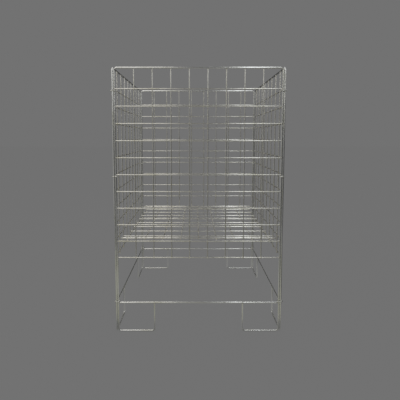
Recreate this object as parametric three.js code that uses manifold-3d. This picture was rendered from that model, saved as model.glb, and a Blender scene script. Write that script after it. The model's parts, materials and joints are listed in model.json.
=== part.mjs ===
// A shop dump bin of plated wire. Four welded panels stand on bent feet, and rings tie them at the corners.
// A wire shelf hooks over a row of the rear panel, rests on the front panel and tilts up about its hooks.
// Millimetres, +Z up, the front towards -Y, the origin on the floor under the middle of the bin.

import * as THREE from 'three';
import { mergeVertices } from 'three/addons/utils/BufferGeometryUtils.js';
import Module from 'manifold-3d';

const wasm = await Module();
wasm.setup();

// Diameters of the rods and wires
const FRAME_ROD = 5;
const RAIL_ROD = 5;
const MESH_WIRE = 3;
const SHELF_WIRE = 3;
const SHELF_BAR = 4;
const RING_WIRE = 3;

// The bin, measured between the middles of its rods
const BIN_WIDTH = 499;
const BIN_DEPTH = 500;
const BIN_HEIGHT = 790;
const FOOT_HEIGHT = 89;
const ROW_PITCH = 50;
const ROW_COUNT = 11;
const TOP_GAP = 60;
const FOOT_LENGTH = 110;
const BEND_RADIUS = 8;

// The mesh of the panels
const FRONT_END_COLUMN = 56;
const FRONT_COLUMNS = 8;
const SIDE_END_COLUMN = 52;
const SIDE_COLUMNS = 8;
const COLUMN_TAIL = 5;
const WELD_SINK = 0.4;

// The rings that tie the corner posts: one under each of these rows, and the lowest on the lower rails
const RING_ROWS = [1, 6];
const RING_DROP = 5;
const RING_OPENING = 1.2;

// The shelf
const SHELF_ROW = 10;
const SHELF_LATERALS = 9;
const SHELF_SETBACK = 28.5;
const SHELF_OVERHANG = 5;
const REAR_BAR_STEP = 11.5;
const BAR_END_GAP = 6.5;
const HOOK_TAIL = 8;
const REST_SETBACK = 0.5;

// Clearances
const WELD_GAP = 0.3;
const CORNER_GAP = 0.5;
const RING_PLAY = 0.5;
const RAIL_RING_GAP = 0.4;
const BAR_GAP = 1;

// Sections: flats lie across the given diameter, and the corners stand a little further out
const ROD_SIDES = 8;
const MESH_SIDES = 6;
const BEND_STEPS = 4;
const RING_STEPS = 3;
const HOOK_STEPS = 5;
const SAME_POINT = 1e-4;

const cornerRadius = (diameter, sides) => diameter / 2 / Math.cos(Math.PI / sides);
const meshRidge = cornerRadius(MESH_WIRE, MESH_SIDES);

// Heights, with the rows of the mesh counted from the top
const footZ = FRAME_ROD / 2;
const lowerRailZ = footZ + FOOT_HEIGHT;
const topRailZ = footZ + BIN_HEIGHT;
const rowZ = (row) => topRailZ - TOP_GAP - (row - 1) * ROW_PITCH;

// The mesh fills its frame: rows lie just outside the panel's own plane and columns just inside it
const rowOut = meshRidge - WELD_SINK / 2;
const columnIn = rowOut;

// What butts against a rod of the frame stops this far from the rod's middle
const buttGap = FRAME_ROD / 2 + WELD_GAP;

// Corner posts: the front and rear panels' posts stand beside the side panels' posts, between them
const postPitch = FRAME_ROD + CORNER_GAP;
const frontWidth = BIN_WIDTH - 2 * postPitch;
const sideWidth = BIN_DEPTH;
const columnPitch = (frontWidth - 2 * FRONT_END_COLUMN) / (FRONT_COLUMNS - 1);

// A path of straight runs and round bends in one plane. Its stations are the ends of the runs and a few
// points round each bend, and across stays square to the plane all along it.
class BentPath extends THREE.Curve {
  constructor(corners, bendRadius, across, bendSteps) {
    super();
    this.across = across.clone().normalize();
    this.points = [];
    this.tangents = [];
    const last = corners.length - 1;
    this.addStation(corners[0], corners[1].clone().sub(corners[0]).normalize());
    for (let i = 1; i < last; i += 1) {
      this.addBend(corners[i - 1], corners[i], corners[i + 1], bendRadius, bendSteps);
    }
    this.addStation(corners[last], corners[last].clone().sub(corners[last - 1]).normalize());
  }

  // Two bends that meet with no straight run between them share one station
  addStation(point, tangent) {
    const previous = this.points[this.points.length - 1];
    if (previous && previous.distanceTo(point) < SAME_POINT) {
      return;
    }
    this.points.push(point.clone());
    this.tangents.push(tangent);
  }

  addBend(before, corner, after, radius, steps) {
    const entering = corner.clone().sub(before).normalize();
    const leaving = after.clone().sub(corner).normalize();
    const turn = entering.angleTo(leaving);
    const setback = radius * Math.tan(turn / 2);
    const axis = entering.clone().cross(leaving).normalize();
    const start = corner.clone().addScaledVector(entering, -setback);
    const centre = start.clone().addScaledVector(axis.clone().cross(entering), radius);
    for (let step = 0; step <= steps; step += 1) {
      const angle = turn * step / steps;
      const spoke = start.clone().sub(centre).applyAxisAngle(axis, angle);
      this.addStation(centre.clone().add(spoke), entering.clone().applyAxisAngle(axis, angle));
    }
  }

  getPoint(t, target = new THREE.Vector3()) {
    const place = t * (this.points.length - 1);
    const index = Math.min(Math.floor(place), this.points.length - 2);
    return target.lerpVectors(this.points[index], this.points[index + 1], place - index);
  }

  getSpacedPoints() {
    return this.points;
  }

  computeFrenetFrames() {
    const binormals = this.tangents.map(() => this.across.clone());
    const normals = this.tangents.map((tangent) => this.across.clone().cross(tangent));
    return { tangents: this.tangents, normals, binormals };
  }
}

// A round section with a flat facing across the path
function section(diameter, sides) {
  const radius = cornerRadius(diameter, sides);
  const outline = [];
  for (let i = 0; i < sides; i += 1) {
    const angle = Math.PI / 2 + (i + 0.5) * 2 * Math.PI / sides;
    outline.push(new THREE.Vector2(radius * Math.cos(angle), radius * Math.sin(angle)));
  }
  return new THREE.Shape(outline);
}

function wire(corners, diameter, across, options = {}) {
  const { sides = ROD_SIDES, bend = BEND_RADIUS, bendSteps = BEND_STEPS } = options;
  const path = new BentPath(corners, bend, across, bendSteps);
  const geometry = new THREE.ExtrudeGeometry(section(diameter, sides), {
    steps: path.points.length - 1,
    extrudePath: path,
    bevelEnabled: false,
  });
  geometry.deleteAttribute('normal');
  geometry.deleteAttribute('uv');
  return mergeVertices(geometry, SAME_POINT);
}

function toSolid(geometry) {
  return new wasm.Manifold(new wasm.Mesh({
    numProp: 3,
    vertProperties: geometry.attributes.position.array,
    triVerts: Uint32Array.from(geometry.index.array),
  }));
}

// Wires welded where they cross become one body
function weld(wires) {
  const solid = wires.map(toSolid).reduce((joined, next) => joined.add(next));
  const mesh = solid.getMesh();
  const geometry = new THREE.BufferGeometry();
  geometry.setAttribute('position', new THREE.BufferAttribute(mesh.vertProperties, 3));
  geometry.setIndex(new THREE.BufferAttribute(mesh.triVerts, 1));
  return geometry;
}

const FINISHES = {
  rod: { color: 0xcfd0c9, roughness: 0.22, metalness: 1 },
  mesh: { color: 0xd1cfbf, roughness: 0.23, metalness: 1 },
  ring: { color: 0xc5c4bb, roughness: 0.27, metalness: 1 },
  shelf: { color: 0xefebde, roughness: 0.19, metalness: 1 },
};

function piece(parent, name, geometry, finish) {
  geometry.computeVertexNormals();
  const mesh = new THREE.Mesh(geometry, new THREE.MeshStandardMaterial(FINISHES[finish]));
  mesh.name = name;
  parent.add(mesh);
}

const alongX = new THREE.Vector3(1, 0, 0);
const alongY = new THREE.Vector3(0, 1, 0);
const alongZ = new THREE.Vector3(0, 0, 1);

// One rod bent round a panel: leg, foot, post, top rail, post, foot and leg. A panel is drawn facing -Y.
function panelFrame(width) {
  const post = width / 2;
  const leg = post - FOOT_LENGTH;
  const legTop = lowerRailZ - RAIL_ROD / 2 - WELD_GAP;
  const outline = [
    [-leg, legTop], [-leg, footZ], [-post, footZ], [-post, topRailZ],
    [post, topRailZ], [post, footZ], [leg, footZ], [leg, legTop],
  ];
  return wire(outline.map(([x, z]) => new THREE.Vector3(x, 0, z)), FRAME_ROD, alongY);
}

// Rows butt against the posts, and columns butt against the underside of the top rail
function panelMesh(width, columns, endColumn) {
  const wires = [];
  const rowEnd = width / 2 - buttGap;
  for (let row = 1; row <= ROW_COUNT; row += 1) {
    const ends = [-rowEnd, rowEnd].map((x) => new THREE.Vector3(x, -rowOut, rowZ(row)));
    wires.push(wire(ends, MESH_WIRE, alongZ, { sides: MESH_SIDES }));
  }
  const pitch = (width - 2 * endColumn) / (columns - 1);
  const columnTop = topRailZ - buttGap;
  const columnFoot = rowZ(ROW_COUNT) - COLUMN_TAIL;
  for (let column = 0; column < columns; column += 1) {
    const x = -width / 2 + endColumn + column * pitch;
    const ends = [columnFoot, columnTop].map((z) => new THREE.Vector3(x, columnIn, z));
    wires.push(wire(ends, MESH_WIRE, alongX, { sides: MESH_SIDES }));
  }
  return weld(wires);
}

// The lower rail stands on the legs and butts against the posts
function lowerRail(width) {
  const railEnd = width / 2 - buttGap;
  const ends = [-railEnd, railEnd].map((x) => new THREE.Vector3(x, 0, lowerRailZ));
  return wire(ends, RAIL_ROD, alongZ);
}

const bin = new THREE.Group();

const frontShape = [frontWidth, FRONT_COLUMNS, FRONT_END_COLUMN];
const sideShape = [sideWidth, SIDE_COLUMNS, SIDE_END_COLUMN];

const PANELS = [
  { name: 'front', shape: frontShape, x: 0, y: -BIN_DEPTH / 2, turn: 0 },
  { name: 'right', shape: sideShape, x: BIN_WIDTH / 2, y: 0, turn: Math.PI / 2 },
  { name: 'rear', shape: frontShape, x: 0, y: BIN_DEPTH / 2, turn: Math.PI },
  { name: 'left', shape: sideShape, x: -BIN_WIDTH / 2, y: 0, turn: -Math.PI / 2 },
];

for (const { name, shape, x, y, turn } of PANELS) {
  const [width, columns, endColumn] = shape;
  const panel = new THREE.Group();
  panel.position.set(x, y, 0);
  panel.rotation.z = turn;
  piece(panel, `${name}_frame`, panelFrame(width), 'rod');
  piece(panel, `${name}_mesh`, panelMesh(width, columns, endColumn), 'mesh');
  piece(panel, `${name}_lower_rail`, lowerRail(width), 'rod');
  bin.add(panel);
}

// A ring is an open link of wire round the two posts of a corner. Its ends meet on the goods' side.
function cornerRing() {
  const reach = cornerRadius(FRAME_ROD, ROD_SIDES) + RING_PLAY + cornerRadius(RING_WIRE, MESH_SIDES);
  const half = postPitch / 2 + reach;
  const opening = RING_OPENING / 2;
  const outline = [
    [opening, reach], [half, reach], [half, -reach], [-half, -reach], [-half, reach], [-opening, reach],
  ];
  const corners = outline.map(([x, y]) => new THREE.Vector3(x, y, 0));
  return wire(corners, RING_WIRE, alongZ, { sides: MESH_SIDES, bend: reach, bendSteps: RING_STEPS });
}

const lowestRingZ = lowerRailZ + RAIL_ROD / 2 + RAIL_RING_GAP + RING_WIRE / 2;
const ringHeights = [...RING_ROWS.map((row) => rowZ(row) - RING_DROP), lowestRingZ];

const CORNERS = [
  { name: 'front_left', x: -1, y: -1 },
  { name: 'front_right', x: 1, y: -1 },
  { name: 'rear_right', x: 1, y: 1 },
  { name: 'rear_left', x: -1, y: 1 },
];

for (const { name, x, y } of CORNERS) {
  ringHeights.forEach((height, index) => {
    const ring = new THREE.Group();
    const middleX = BIN_WIDTH / 2 - postPitch / 2;
    ring.position.set(x * middleX, y * BIN_DEPTH / 2, height);
    ring.rotation.z = y > 0 ? Math.PI : 0;
    piece(ring, `${name}_ring_${index + 1}`, cornerRing(), 'ring');
    bin.add(ring);
  });
}

// The shelf's hooks bend round the rear row, so they keep their distance from it all through the tilt
const shelf = new THREE.Group();
const hookRadius = meshRidge + WELD_GAP + cornerRadius(SHELF_WIRE, ROD_SIDES);
const hookY = BIN_DEPTH / 2 + rowOut;
const shelfRowZ = rowZ(SHELF_ROW);
const runnerZ = shelfRowZ + hookRadius;
const lateralZ = runnerZ + SHELF_WIRE + WELD_GAP;
const barZ = runnerZ + SHELF_WIRE / 2 + WELD_GAP + SHELF_BAR / 2;
const barHalf = frontWidth / 2 - FRAME_ROD / 2 - BAR_END_GAP;
const lateralFrontY = -BIN_DEPTH / 2 + SHELF_SETBACK;
const lateralRearY = BIN_DEPTH / 2 - SHELF_SETBACK;
const lateralPitch = (lateralRearY - lateralFrontY) / (SHELF_LATERALS - 1);

const crossWire = (half, y, z) => [-half, half].map((x) => new THREE.Vector3(x, y, z));

// The front bar lies close behind the front panel's columns, and the rear bar just behind the cross wires
const frontBarY = -BIN_DEPTH / 2 + columnIn + meshRidge + BAR_GAP + cornerRadius(SHELF_BAR, ROD_SIDES);
const rearBarY = lateralRearY + REAR_BAR_STEP;
piece(shelf, 'shelf_front_bar', wire(crossWire(barHalf, frontBarY, barZ), SHELF_BAR, alongZ), 'shelf');
piece(shelf, 'shelf_rear_bar', wire(crossWire(barHalf, rearBarY, barZ), SHELF_BAR, alongZ), 'shelf');

// Runners go from front to back midway between the front panel's columns, and every second one is hooked
const runnerCount = FRONT_COLUMNS + 1;
const outerRunnerX = columnPitch * (runnerCount - 1) / 2;
let plainNumber = 0;
let hookedNumber = 0;
for (let runner = 0; runner < runnerCount; runner += 1) {
  const x = -outerRunnerX + runner * columnPitch;
  const at = (y, z) => new THREE.Vector3(x, y, z);
  if (runner % 2 === 1) {
    hookedNumber += 1;
    const frontTip = -BIN_DEPTH / 2 - rowOut + REST_SETBACK;
    const tailY = hookY + hookRadius;
    const route = [at(frontTip, runnerZ), at(tailY, runnerZ), at(tailY, shelfRowZ - HOOK_TAIL)];
    const hooked = wire(route, SHELF_WIRE, alongX, { bend: hookRadius, bendSteps: HOOK_STEPS });
    piece(shelf, `shelf_hook_wire_${hookedNumber}`, hooked, 'shelf');
  } else {
    plainNumber += 1;
    const route = [at(frontBarY - SHELF_BAR / 2, runnerZ), at(rearBarY + SHELF_BAR / 2, runnerZ)];
    piece(shelf, `shelf_runner_${plainNumber}`, wire(route, SHELF_WIRE, alongX), 'shelf');
  }
}

// Cross wires lie on the runners. The first is as long as the front bar.
for (let lateral = 0; lateral < SHELF_LATERALS; lateral += 1) {
  const half = lateral === 0 ? barHalf : outerRunnerX + SHELF_OVERHANG;
  const y = lateralFrontY + lateral * lateralPitch;
  const crossing = wire(crossWire(half, y, lateralZ), SHELF_WIRE, alongZ);
  piece(shelf, `shelf_cross_wire_${lateral + 1}`, crossing, 'shelf');
}

bin.add(shelf);

export default bin;
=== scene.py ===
import json
import math

import bpy
from mathutils import Matrix, Vector


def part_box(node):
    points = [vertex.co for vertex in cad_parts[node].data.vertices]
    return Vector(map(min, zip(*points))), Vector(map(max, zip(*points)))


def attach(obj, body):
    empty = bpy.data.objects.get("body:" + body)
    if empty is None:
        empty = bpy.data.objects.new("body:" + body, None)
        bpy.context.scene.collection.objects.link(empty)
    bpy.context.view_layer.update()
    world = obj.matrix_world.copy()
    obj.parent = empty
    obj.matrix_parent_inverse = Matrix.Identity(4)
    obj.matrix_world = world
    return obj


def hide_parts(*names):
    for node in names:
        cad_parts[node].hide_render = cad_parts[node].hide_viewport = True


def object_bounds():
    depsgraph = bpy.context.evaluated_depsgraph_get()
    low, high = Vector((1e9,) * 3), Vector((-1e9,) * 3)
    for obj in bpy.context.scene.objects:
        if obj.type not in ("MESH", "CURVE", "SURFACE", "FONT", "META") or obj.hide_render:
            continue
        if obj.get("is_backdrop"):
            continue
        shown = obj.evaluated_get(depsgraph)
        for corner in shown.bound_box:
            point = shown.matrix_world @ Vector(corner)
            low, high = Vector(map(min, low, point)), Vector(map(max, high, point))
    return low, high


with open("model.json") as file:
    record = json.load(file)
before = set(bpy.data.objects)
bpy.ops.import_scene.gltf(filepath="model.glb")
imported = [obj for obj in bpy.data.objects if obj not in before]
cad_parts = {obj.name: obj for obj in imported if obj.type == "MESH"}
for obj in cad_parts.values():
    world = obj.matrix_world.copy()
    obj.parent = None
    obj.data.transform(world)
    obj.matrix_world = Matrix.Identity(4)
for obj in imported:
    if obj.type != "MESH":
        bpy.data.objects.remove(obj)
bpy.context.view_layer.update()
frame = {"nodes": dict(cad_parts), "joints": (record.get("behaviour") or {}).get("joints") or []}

# Panel frames
# The edge of each panel is one 5 mm steel rod, bent cold into leg, foot, post, top rail, post, foot and leg.
# Each panel is welded up first and plated bright afterwards, so the plating runs over the welds as well.
PANEL_TURNS = {"front": 0, "right": 90, "rear": 180, "left": -90}
FOOT_LENGTH = 0.110
ROD_BEND = 0.008
ROD_SIDES = 20
BEND_STEPS = 10
ALONG = Vector((1, 0, 0))
BACK = Vector((0, 1, 0))
UP = Vector((0, 0, 1))


class Route:
    """A wire's centre line in one plane: straight runs, with round bends between them.
    across is the direction square to that plane."""

    def __init__(self, corners, across, bend=0.0, steps=BEND_STEPS):
        self.across = across
        self.stations = [(corners[0], (corners[1] - corners[0]).normalized())]
        for before, corner, after in zip(corners, corners[1:], corners[2:]):
            self.turn(before, corner, after, bend, steps)
        self.stations.append((corners[-1], (corners[-1] - corners[-2]).normalized()))
        self.marks = [0.0]
        for (start, _), (end, _) in zip(self.stations, self.stations[1:]):
            self.marks.append(self.marks[-1] + (end - start).length)
        self.length = self.marks[-1]

    def turn(self, before, corner, after, bend, steps):
        entering = (corner - before).normalized()
        leaving = (after - corner).normalized()
        angle = entering.angle(leaving)
        axis = entering.cross(leaving).normalized()
        start = corner - entering * bend * math.tan(angle / 2)
        centre = start + axis.cross(entering) * bend
        for step in range(steps + 1):
            turned = Matrix.Rotation(angle * step / steps, 3, axis)
            self.stations.append((centre + turned @ (start - centre), turned @ entering))

    def at(self, mark):
        """The point and the heading a given length along the wire."""
        last = len(self.marks) - 2
        index = next((i for i in range(last) if mark <= self.marks[i + 1]), last)
        span = self.marks[index + 1] - self.marks[index]
        share = (mark - self.marks[index]) / span if span > 0 else 0.0
        (start, heading), (end, next_heading) = self.stations[index], self.stations[index + 1]
        return start.lerp(end, share), heading.lerp(next_heading, share).normalized()


# The heat of a weld shows for 6 mm along the wire. Each wire's grain starts 3.7 m past the last one's.
# A cut end is rounded in steps: how far in each is and how wide, as shares of the wire's radius.
WELD_REACH = 0.006
WELD_STEPS = (-1, -0.33, 0, 0.33, 1)
GRAIN_START = 3.7
CUT_EDGE = [(0.0, 0.80), (0.10, 0.94), (0.28, 1.0)]
BEAD_SIDES = 8
BEAD_BANDS = 5
QUAD_CORNERS = 4


class WireWork:
    """Round wires and weld beads gathered into one mesh. Each vertex keeps its place on the straight wire
    that was drawn and how near a weld it is, and the finish reads both."""

    def __init__(self, placing=Matrix.Identity(4)):
        self.placing = placing
        self.vertices = []
        self.faces = []
        self.drawn = []
        self.weld = []
        self.wires = 0

    def ring(self, centre, heading, across, radius, sides, mark, weld):
        """A round of vertices about the wire, in the order that turns the faces between rounds outward."""
        first = len(self.vertices)
        side = heading.cross(across)
        for i in range(sides):
            angle = 2 * math.pi * i / sides
            spoke = across * math.cos(angle) + side * math.sin(angle)
            self.vertices.append(self.placing @ (centre + spoke * radius))
            around = (radius * math.cos(angle), radius * math.sin(angle))
            self.drawn.append((mark + self.wires * GRAIN_START, *around))
            self.weld.append(weld)
        return first

    def join(self, first, second, sides):
        for i in range(sides):
            after = (i + 1) % sides
            self.faces.append((first + i, first + after, second + after, second + i))

    def wire(self, route, radius, sides, welds=()):
        """One wire with cut ends. welds are the lengths along it where it is welded."""
        marks = set(route.marks[1:-1])
        for weld in welds:
            marks.update(weld + WELD_REACH * step for step in WELD_STEPS)
        edge = CUT_EDGE[-1][0] * radius
        sizes = [(mark, 1.0) for mark in marks if edge < mark < route.length - edge]
        for inset, share in CUT_EDGE:
            sizes += [(inset * radius, share), (route.length - inset * radius, share)]
        previous = None
        for mark, share in sorted(sizes):
            near = max((1 - abs(mark - weld) / WELD_REACH for weld in welds), default=0)
            centre, heading = route.at(mark)
            first = self.ring(centre, heading, route.across, radius * share, sides, mark, max(0.0, near))
            if previous is None:
                self.faces.append(tuple(reversed(range(first, first + sides))))
            else:
                self.join(previous, first, sides)
            previous = first
        self.faces.append(tuple(range(previous, previous + sides)))
        self.wires += 1

    def bead(self, centre, axes):
        """A lump of weld metal. axes are its three half lengths as vectors."""
        first = len(self.vertices)
        for band in range(1, BEAD_BANDS):
            height = math.pi * band / BEAD_BANDS
            for i in range(BEAD_SIDES):
                angle = 2 * math.pi * i / BEAD_SIDES
                around = axes[0] * math.cos(angle) + axes[1] * math.sin(angle)
                self.bead_vertex(centre, around * math.sin(height) + axes[2] * math.cos(height))
        for band in range(BEAD_BANDS - 2):
            start = first + band * BEAD_SIDES
            self.join(start + BEAD_SIDES, start, BEAD_SIDES)
        self.bead_vertex(centre, axes[2])
        self.bead_vertex(centre, -axes[2])
        top = first + (BEAD_BANDS - 1) * BEAD_SIDES
        bottom = top + 1
        lowest_band = top - BEAD_SIDES
        for i in range(BEAD_SIDES):
            after = (i + 1) % BEAD_SIDES
            self.faces.append((top, first + i, first + after))
            self.faces.append((bottom, lowest_band + after, lowest_band + i))

    def bead_vertex(self, centre, offset):
        self.vertices.append(self.placing @ (centre + offset))
        self.drawn.append(tuple(centre + offset))
        self.weld.append(1.0)

    def piece(self, name, material, body, node):
        """Makes the mesh a piece that rides on a body and stands for a node. Only the cut ends stay flat."""
        mesh = bpy.data.meshes.new(name)
        mesh.from_pydata(self.vertices, [], self.faces)
        drawn = mesh.attributes.new("drawn", "FLOAT_VECTOR", "POINT")
        drawn.data.foreach_set("vector", [number for place in self.drawn for number in place])
        weld = mesh.attributes.new("weld", "FLOAT", "POINT")
        weld.data.foreach_set("value", self.weld)
        for face in mesh.polygons:
            face.use_smooth = len(face.vertices) <= QUAD_CORNERS
        mesh.materials.append(material)
        made = bpy.data.objects.new(name, mesh)
        bpy.context.scene.collection.objects.link(made)
        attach(made, body)
        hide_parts(node)


class Field:
    """A value that changes over a surface. Python's operators on it add Math nodes to its material."""

    def __init__(self, tree, socket):
        self.tree = tree
        self.socket = socket

    @classmethod
    def node(cls, tree, kind, settings, inputs, output=0):
        made = tree.nodes.new(f"ShaderNode{kind}")
        for name, value in settings.items():
            setattr(made, name, value)
        for name, value in inputs.items():
            if isinstance(value, cls):
                tree.links.new(value.socket, made.inputs[name])
            else:
                made.inputs[name].default_value = value
        return cls(tree, made.outputs[output])

    def math(self, operation, left, right):
        return Field.node(self.tree, "Math", {"operation": operation}, {0: left, 1: right})

    def __add__(self, other):
        return self.math("ADD", self, other)

    def __radd__(self, other):
        return self.math("ADD", other, self)

    def __sub__(self, other):
        return self.math("SUBTRACT", self, other)

    def __rsub__(self, other):
        return self.math("SUBTRACT", other, self)

    def __mul__(self, other):
        return self.math("MULTIPLY", self, other)

    def __rmul__(self, other):
        return self.math("MULTIPLY", other, self)


# A grain's fineness along and across the wire is per metre. An edge is where a mark begins and is full.
# A tint or a roughness is what a mark adds to the clean plating, and a height or a depth what it raises.
PATCH_GRAIN = {"along": 14, "across": 120, "detail": 3.0, "roughness": 0.6}
DRAW_GRAIN = {"along": 40, "across": 2600, "detail": 2.0, "roughness": 0.5}
PIT_GRAIN = {"along": 900, "across": 900, "detail": 1.0, "roughness": 0.5}
SCORCH_GRAIN = {"along": 420, "across": 420, "detail": 3.0, "roughness": 0.6}
LUMP_GRAIN = {"along": 900, "across": 900, "detail": 2.0, "roughness": 0.6}
PATCH_EDGE = (0.42, 0.74)
PIT_EDGE = (0.70, 0.78)
SCORCH_EDGE = (0.85, 1.45)
SCORCH_SPREAD = 0.7
PIT_TINT = 0.35
SCORCH_TINT = 0.30
DRAW_ROUGHNESS = 0.06
SCORCH_ROUGHNESS = 0.08
PIT_ROUGHNESS = 0.10
LUMP_HEIGHT = 1.5
PIT_DEPTH = 0.8
RELIEF = {"Strength": 0.06, "Distance": 0.0001}
MIX_FIRST_COLOUR = 6
MIX_SECOND_COLOUR = 7
MIX_COLOUR = 2


def bright_plate(name, bright, dull, scorched, smooth, patchy):
    """Bright plating on drawn wire: long drawing marks, dull patches, pits, and scorched, rougher welds.
    smooth is the roughness of clean plating, and patchy is what a dull patch adds to it."""
    material = bpy.data.materials.new(name)
    material.use_nodes = True
    tree = material.node_tree
    shader = tree.nodes["Principled BSDF"]

    def grain(along, across, detail, roughness):
        place = Field.node(tree, "Attribute", {"attribute_name": "drawn"}, {}, "Vector")
        fineness = (along, across, across)
        stretched = Field.node(tree, "VectorMath", {"operation": "MULTIPLY"}, {0: place, 1: fineness})
        inputs = {"Vector": stretched, "Scale": 1.0, "Detail": detail, "Roughness": roughness}
        return Field.node(tree, "TexNoise", {}, inputs)

    def masked(value, edge):
        inputs = {"Value": value, "From Min": edge[0], "From Max": edge[1]}
        return Field.node(tree, "MapRange", {"interpolation_type": "SMOOTHSTEP"}, inputs)

    def mixed(factor, first, second):
        inputs = {"Factor": factor, MIX_FIRST_COLOUR: first, MIX_SECOND_COLOUR: second}
        return Field.node(tree, "Mix", {"data_type": "RGBA"}, inputs, MIX_COLOUR)

    weld = Field.node(tree, "Attribute", {"attribute_name": "weld"}, {}, "Fac")
    patches = masked(grain(**PATCH_GRAIN), PATCH_EDGE)
    marks = grain(**DRAW_GRAIN)
    pits = masked(grain(**PIT_GRAIN), PIT_EDGE)
    scorch = masked(weld + SCORCH_SPREAD * grain(**SCORCH_GRAIN), SCORCH_EDGE)

    tint = mixed(patches, (*bright, 1), (*dull, 1))
    tint = mixed(pits * PIT_TINT, tint, (*scorched, 1))
    tint = mixed(scorch * SCORCH_TINT, tint, (*scorched, 1))
    roughness = smooth + patchy * patches + DRAW_ROUGHNESS * marks
    roughness = roughness + SCORCH_ROUGHNESS * scorch + PIT_ROUGHNESS * pits
    height = marks + LUMP_HEIGHT * weld * grain(**LUMP_GRAIN) - PIT_DEPTH * pits
    relief = Field.node(tree, "Bump", {}, {"Height": height, **RELIEF})

    shader.inputs["Metallic"].default_value = 1.0
    tree.links.new(tint.socket, shader.inputs["Base Color"])
    tree.links.new(roughness.socket, shader.inputs["Roughness"])
    tree.links.new(relief.socket, shader.inputs["Normal"])
    return material


ROD_PLATE = bright_plate("rod_plate", bright=(0.84, 0.845, 0.83), dull=(0.70, 0.70, 0.63),
                         scorched=(0.42, 0.38, 0.30), smooth=0.17, patchy=0.12)


class Panel:
    """One side of the bin, drawn as if it faced the front. Its placing turns it to its own side."""

    def __init__(self, name):
        low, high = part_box(f"{name}_frame")
        middle = (low + high) / 2
        turn = Matrix.Rotation(math.radians(PANEL_TURNS[name]), 4, "Z")
        self.name = name
        self.placing = Matrix.Translation((middle.x, middle.y, 0)) @ turn
        thickness, length = sorted((high.x - low.x, high.y - low.y))
        self.rod = thickness / 2
        self.post = length / 2 - self.rod
        self.leg = self.post - FOOT_LENGTH
        self.foot_z = low.z + self.rod
        self.top_z = high.z - self.rod

    def reach(self, part):
        """How far ahead of the frame one of its nodes lies, least and most, and its lowest and top level."""
        corners = [self.placing.inverted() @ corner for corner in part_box(f"{self.name}_{part}")]
        return sorted(-corner.y for corner in corners), sorted(corner.z for corner in corners)


def on_panel(x, out, z):
    """A point of a panel that faces the front: x along it, out ahead of its frame, z up."""
    return Vector((x, -out, z))


PANELS = [Panel(name) for name in PANEL_TURNS]

for panel in PANELS:
    _, (leg_top, _) = panel.reach("lower_rail")
    half = [(panel.leg, leg_top), (panel.leg, panel.foot_z)]
    half += [(panel.post, panel.foot_z), (panel.post, panel.top_z)]
    outline = [(-x, z) for x, z in half] + list(reversed(half))
    route = Route([on_panel(x, 0, z) for x, z in outline], BACK, ROD_BEND)
    work = WireWork(panel.placing)
    work.wire(route, panel.rod, ROD_SIDES, [0, route.length])
    work.piece(f"{panel.name}_frame_rod", ROD_PLATE, "bin", f"{panel.name}_frame")

# Panel meshes
# Straight drawn wires of 3 mm, the rows laid outside the columns and spot welded at every crossing.
# The rows butt against the posts and the columns against the underside of the top rail, each with a weld.
ROW_COUNT = 11
ROW_PITCH = 0.050
TOP_GAP = 0.060
COLUMN_COUNT = 8
END_COLUMN = {"front": 0.056, "right": 0.052, "rear": 0.056, "left": 0.052}
MESH_RADIUS = 0.00155
MESH_SIDES = 10
WELD_SINK = 0.0004
CROSSING_BEAD = (UP * 0.0015, ALONG * 0.0015, BACK * 0.0009)
POST_BEAD = (UP * 0.0022, ALONG * 0.0016, BACK * 0.0020)
# The wires of the solids are six-sided, so the box of a mesh ends at a ridge of its rows.
SOLID_WIRE_RADIUS = 0.0015
SOLID_WIRE_SIDES = 6
SOLID_WIRE_RIDGE = SOLID_WIRE_RADIUS / math.cos(math.pi / SOLID_WIRE_SIDES)

WIRE_PLATE = bright_plate("wire_plate", bright=(0.85, 0.84, 0.79), dull=(0.72, 0.70, 0.58),
                          scorched=(0.42, 0.37, 0.28), smooth=0.18, patchy=0.12)

for panel in PANELS:
    (_, farthest), (column_foot, _) = panel.reach("mesh")
    row_out = farthest - SOLID_WIRE_RIDGE
    column_out = row_out - 2 * SOLID_WIRE_RIDGE + WELD_SINK
    column_top = panel.top_z - math.sqrt(panel.rod**2 - column_out**2)
    row_end = panel.post - math.sqrt(panel.rod**2 - row_out**2)
    rows = [panel.top_z - TOP_GAP - row * ROW_PITCH for row in range(ROW_COUNT)]
    end_column = panel.post - END_COLUMN[panel.name]
    pitch = 2 * end_column / (COLUMN_COUNT - 1)
    columns = [column * pitch - end_column for column in range(COLUMN_COUNT)]

    work = WireWork(panel.placing)
    for z in rows:
        route = Route([on_panel(-row_end, row_out, z), on_panel(row_end, row_out, z)], UP)
        work.wire(route, MESH_RADIUS, MESH_SIDES, [row_end + x for x in [-row_end, *columns, row_end]])
        for x in columns:
            work.bead(on_panel(x, (row_out + column_out) / 2, z), CROSSING_BEAD)
        for x in (-row_end, row_end):
            work.bead(on_panel(x, row_out, z), POST_BEAD)
    for x in columns:
        route = Route([on_panel(x, column_out, column_foot), on_panel(x, column_out, column_top)], ALONG)
        work.wire(route, MESH_RADIUS, MESH_SIDES, [z - column_foot for z in [*rows, column_top]])
    work.piece(f"{panel.name}_mesh_wires", WIRE_PLATE, "bin", f"{panel.name}_mesh")

# Lower rails
# A straight 5 mm rod along each panel, butted between its posts and standing on the tops of its legs.
# A collar of weld at each of the four joints holds it, plated over with the rest.
RAIL_SIDES = 16
RAIL_BEAD = (UP * 0.0030, ALONG * 0.0030, BACK * 0.0024)

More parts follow.
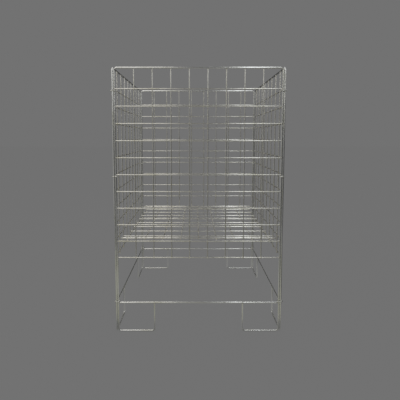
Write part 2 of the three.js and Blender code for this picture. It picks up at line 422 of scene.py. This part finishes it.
for panel in PANELS:
    _, (leg_top, rail_top) = panel.reach("lower_rail")
    rail_z = (leg_top + rail_top) / 2
    radius = (rail_top - leg_top) / 2
    end = panel.post - panel.rod
    joints = [(-end, rail_z), (-panel.leg, leg_top), (panel.leg, leg_top), (end, rail_z)]
    route = Route([on_panel(-end, 0, rail_z), on_panel(end, 0, rail_z)], UP)
    work = WireWork(panel.placing)
    work.wire(route, radius, RAIL_SIDES, [end + x for x, _ in joints])
    for x, z in joints:
        work.bead(on_panel(x, 0, z), RAIL_BEAD)
    work.piece(f"{panel.name}_lower_rail_rod", ROD_PLATE, "bin", f"{panel.name}_lower_rail")

# Corner rings
# Open links of 3 mm wire, closed with pliers round the two posts that stand at each corner.
# They are zinc plated before they go on, so they are greyer than the panels, and their cut ends show.
RING_SIDES = 12
RING_STEPS = 12
RING_RADIUS = 0.0015
RING_PLAY = 0.0005
RING_GAP = 0.0012
# The rods of the solids are eight-sided, and a ring goes round their ridges with some play.
SOLID_ROD_SIDES = 8

RING_PLATE = bright_plate("ring_plate", bright=(0.80, 0.80, 0.76), dull=(0.66, 0.65, 0.59),
                          scorched=(0.40, 0.37, 0.30), smooth=0.22, patchy=0.14)


def middle_of(node):
    low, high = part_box(node)
    return (low + high) / 2


front, right = PANELS[:2]
post_ridge = front.rod / math.cos(math.pi / SOLID_ROD_SIDES)
ring_reach = post_ridge + RING_PLAY + SOLID_WIRE_RIDGE

for node in [name for name in frame["nodes"] if "_ring_" in name]:
    middle = middle_of(node)
    side_x = math.copysign(right.placing.translation.x, middle.x)
    side_y = math.copysign(right.post, middle.y)
    front_x = math.copysign(front.post, middle.x)
    front_y = math.copysign(front.placing.translation.y, middle.y)
    span = Vector((side_x - front_x, side_y - front_y, 0))
    turn = Matrix.Rotation(math.atan2(span.y, span.x), 4, "Z")
    long_half = span.length / 2 + ring_reach
    half_link = [(RING_GAP / 2, 1), (long_half, 1), (long_half, -1)]
    outline = half_link + [(-x, side) for x, side in reversed(half_link)]
    corners = [Vector((x, side * ring_reach, 0)) for x, side in outline]
    work = WireWork(Matrix.Translation(middle) @ turn)
    work.wire(Route(corners, UP, ring_reach, RING_STEPS), RING_RADIUS, RING_SIDES)
    work.piece(f"{node}_link", RING_PLATE, "bin", node)

# Shelf
# Runners of 3 mm wire under nine cross wires, with a thicker bar along the front edge and the rear edge.
# Every second runner is longer: it rests on the front panel's row and hooks down over the rear panel's row.
SHELF_RADIUS = 0.0015
SHELF_SIDES = 12
HOOK_TAIL = 0.008
HOOK_STEPS = 10
SHELF_BEAD = (ALONG * 0.0015, BACK * 0.0015, UP * 0.0009)

SHELF_PLATE = bright_plate("shelf_plate", bright=(0.96, 0.95, 0.90), dull=(0.86, 0.83, 0.74),
                           scorched=(0.46, 0.41, 0.32), smooth=0.14, patchy=0.10)


def shelf_nodes(part):
    return sorted(name for name in frame["nodes"] if name.startswith(f"shelf_{part}"))


runners = shelf_nodes("runner")
hook_wires = shelf_nodes("hook_wire")
cross_wires = [*shelf_nodes("cross_wire"), "shelf_front_bar", "shelf_rear_bar"]
runner_x = [middle_of(node).x for node in runners + hook_wires]
cross_y = [middle_of(node).y for node in cross_wires]
runner_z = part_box(runners[0])[1].z - SHELF_RADIUS
hinge = Vector(frame["joints"][0]["pos_m"])
hook_bend = runner_z - hinge.z

for node in runners:
    low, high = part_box(node)
    x = middle_of(node).x
    route = Route([Vector((x, low.y, runner_z)), Vector((x, high.y, runner_z))], ALONG)
    work = WireWork()
    work.wire(route, SHELF_RADIUS, SHELF_SIDES, [y - low.y for y in cross_y])
    work.piece(f"{node}_wire", SHELF_PLATE, "shelf", node)

for node in hook_wires:
    front_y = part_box(node)[0].y
    tail_y = hinge.y + hook_bend
    corners = [(front_y, runner_z), (tail_y, runner_z), (tail_y, hinge.z - HOOK_TAIL)]
    route = Route([Vector((middle_of(node).x, y, z)) for y, z in corners], ALONG, hook_bend, HOOK_STEPS)
    work = WireWork()
    work.wire(route, SHELF_RADIUS, SHELF_SIDES, [y - front_y for y in cross_y])
    work.piece(f"{node}_bent", SHELF_PLATE, "shelf", node)

for node in cross_wires:
    low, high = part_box(node)
    _, y, z = middle_of(node)
    radius = (high.z - low.z) / 2
    route = Route([Vector((low.x, y, z)), Vector((high.x, y, z))], UP)
    work = WireWork()
    work.wire(route, radius, SHELF_SIDES, [x - low.x for x in runner_x])
    for x in runner_x:
        work.bead(Vector((x, y, (runner_z + SHELF_RADIUS + z - radius) / 2)), SHELF_BEAD)
    work.piece(f"{node}_rod", SHELF_PLATE, "shelf", node)

# Studio
# A plain floor runs back into an even grey background. Long banks of soft light run back over the bin, with
# strips over its rear, boxes at its sides, sheets on its left and on the floor, and cards for dark edges.
BACKGROUND = 0.168
WHITE = (1, 1, 1, 1)
FLOOR_ALBEDO = (0.17, 0.17, 0.17, 1)
FLOOR_REACH = 20.0
WORLD_LEVEL = 0.70
SHADOW_SHARE = 0.06
CARD_LEVEL = 0.04
DARK_CARDS = {
    "rear_card": [(-0.75, 1.8, 0), (0.75, 1.8, 0), (0.75, 1.8, 1.6), (-0.75, 1.8, 1.6)],
    "right_card": [(1.0, -2.0, 0.05), (1.0, 1.2, 0.05), (1.0, 1.2, 0.80), (1.0, -2.0, 0.80)],
    "camera_card": [(-0.10, -2.2, 0), (0.24, -2.2, 0), (0.24, -2.2, 2.2), (-0.10, -2.2, 2.2)],
    "floor_card": [(0.40, -0.90, 0.006), (1.0, -0.90, 0.006), (1.0, 0.20, 0.006), (0.40, 0.20, 0.006)],
}
WARM = (1.0, 0.975, 0.93)
COOL = (0.96, 0.985, 1.0)
SHEET_CREAM = (1.0, 0.98, 0.90)
FILL_YELLOW = (1.0, 0.99, 0.70)
FLOOR_CREAM = (1.0, 0.99, 0.93)
BANK_MIDDLE = (-0.29, 1.635)
BANK_AIM = (0.515, -0.03)
BANK_LENGTH = 3.75
LIGHTS = {
    "left_edge": {"place": (-0.64, *BANK_MIDDLE), "aim": (-0.64, *BANK_AIM), "size": (0.20, BANK_LENGTH),
                  "radiance": 1.20, "colour": WARM},
    "left_bank": {"place": (-0.34, *BANK_MIDDLE), "aim": (-0.34, *BANK_AIM), "size": (0.40, BANK_LENGTH),
                  "radiance": 0.69, "colour": WARM},
    "right_bank": {"place": (0.33, *BANK_MIDDLE), "aim": (0.33, *BANK_AIM), "size": (0.18, BANK_LENGTH),
                   "radiance": 1.65, "colour": COOL},
    "right_edge": {"place": (0.52, *BANK_MIDDLE), "aim": (0.52, *BANK_AIM), "size": (0.20, BANK_LENGTH),
                   "radiance": 0.23, "colour": COOL},
    "left_strip": {"place": (-0.37, 0.50, 1.35), "aim": (-0.37, 0.50, 0), "size": (0.46, 0.80),
                   "radiance": 0.85, "colour": WARM},
    "right_strip": {"place": (0.42, 0.50, 1.35), "aim": (0.42, 0.50, 0), "size": (0.36, 0.80),
                    "radiance": 0.70, "colour": COOL},
    "left_box": {"place": (-1.5, -0.2, 1.40), "aim": (0, -0.2, 0.75), "size": (1.6, 0.9),
                 "radiance": 0.60, "colour": WARM},
    "right_box": {"place": (1.5, -0.2, 1.40), "aim": (0, -0.2, 0.75), "size": (1.6, 0.9),
                  "radiance": 0.60, "colour": COOL},
    "left_sheet": {"place": (-1.0, -0.15, 0.475), "aim": (0, -0.15, 0.475), "size": (2.1, 0.65),
                   "radiance": 0.19, "colour": SHEET_CREAM},
    "low_fill": {"place": (-0.20, -0.58, 0.004), "aim": (-0.20, -0.58, 1), "size": (1.2, 0.56),
                 "radiance": 0.15, "colour": FILL_YELLOW},
    "under_left": {"place": (-0.14, 0.02, 0.004), "aim": (-0.14, 0.02, 1), "size": (0.32, 0.54),
                   "radiance": 0.07, "colour": FLOOR_CREAM},
    "under_right": {"place": (0.18, 0.02, 0.004), "aim": (0.18, 0.02, 1), "size": (0.32, 0.54),
                    "radiance": 0.10, "colour": FLOOR_CREAM},
}


def seen_directly(tree):
    """1 for what the camera sees, straight or mirrored in the metal, and 0 for light that scatters."""
    straight = Field.node(tree, "LightPath", {}, {}, "Is Camera Ray")
    mirrored = Field.node(tree, "LightPath", {}, {}, "Is Glossy Ray")
    through = Field.node(tree, "LightPath", {}, {}, "Is Transmission Ray")
    return straight + mirrored + through


def glow(tree, strength):
    return Field.node(tree, "Emission", {}, {"Color": WHITE, "Strength": strength})


def floor_surface(tree):
    matt = Field.node(tree, "BsdfDiffuse", {}, {"Color": FLOOR_ALBEDO})
    even_share = seen_directly(tree) * (1 - SHADOW_SHARE)
    return Field.node(tree, "MixShader", {}, {"Fac": even_share, 1: matt, 2: glow(tree, BACKGROUND)})


def card_surface(tree):
    return glow(tree, CARD_LEVEL)


def stage_sheet(name, corners, surface):
    """A flat four-cornered sheet that belongs to the studio. surface makes its shader."""
    mesh = bpy.data.meshes.new(name)
    mesh.from_pydata(corners, [], [(0, 1, 2, 3)])
    paint = bpy.data.materials.new(f"{name}_paint")
    paint.use_nodes = True
    tree = paint.node_tree
    tree.nodes.remove(tree.nodes["Principled BSDF"])
    tree.links.new(surface(tree).socket, tree.nodes["Material Output"].inputs["Surface"])
    mesh.materials.append(paint)
    sheet = bpy.data.objects.new(name, mesh)
    bpy.context.scene.collection.objects.link(sheet)
    sheet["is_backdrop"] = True
    return sheet


world = bpy.data.worlds.new("studio_world")
bpy.context.scene.world = world
world.use_nodes = True
backdrop = world.node_tree.nodes["Background"]
level = WORLD_LEVEL + (BACKGROUND - WORLD_LEVEL) * seen_directly(world.node_tree)
backdrop.inputs["Color"].default_value = WHITE
world.node_tree.links.new(level.socket, backdrop.inputs["Strength"])

quarters = [(-1, -1), (1, -1), (1, 1), (-1, 1)]
stage_sheet("floor", [(x * FLOOR_REACH, y * FLOOR_REACH, 0) for x, y in quarters], floor_surface)

for name, corners in DARK_CARDS.items():
    card = stage_sheet(name, corners, card_surface)
    card.visible_camera = False
    card.visible_diffuse = False
    card.visible_shadow = False

for name, light in LIGHTS.items():
    lamp = bpy.data.lights.new(name, "AREA")
    lamp.shape = "RECTANGLE"
    lamp.size, lamp.size_y = light["size"]
    lamp.energy = light["radiance"] * math.pi * lamp.size * lamp.size_y
    lamp.color = light["colour"]
    hung = bpy.data.objects.new(name, lamp)
    hung.location = light["place"]
    away = Vector(light["place"]) - Vector(light["aim"])
    hung.rotation_euler = away.to_track_quat("Z", "Y").to_euler()
    hung.visible_camera = False
    bpy.context.scene.collection.objects.link(hung)

# Camera
# It stands a metre in front of the bin, level with its upper third, and is tipped down a little.
# The shift places the bin in its frame as the photograph has it.
CAMERA_PLACE = (-0.0094, -1.2512, 0.5933)
LEVEL_VIEW = 90
CAMERA_TIP = 4.75
LENS = 30.70
SENSOR = 36.0
SHIFT = (0.0115, -0.0863)

camera_data = bpy.data.cameras.new("camera")
camera_data.lens = LENS
camera_data.sensor_width = SENSOR
camera_data.shift_x, camera_data.shift_y = SHIFT
camera = bpy.data.objects.new("camera", camera_data)
camera.location = CAMERA_PLACE
camera.rotation_euler = (math.radians(LEVEL_VIEW - CAMERA_TIP), 0, 0)
bpy.context.scene.collection.objects.link(camera)
bpy.context.scene.camera = camera
bpy.context.scene.view_settings.view_transform = "Standard"

low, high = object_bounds()
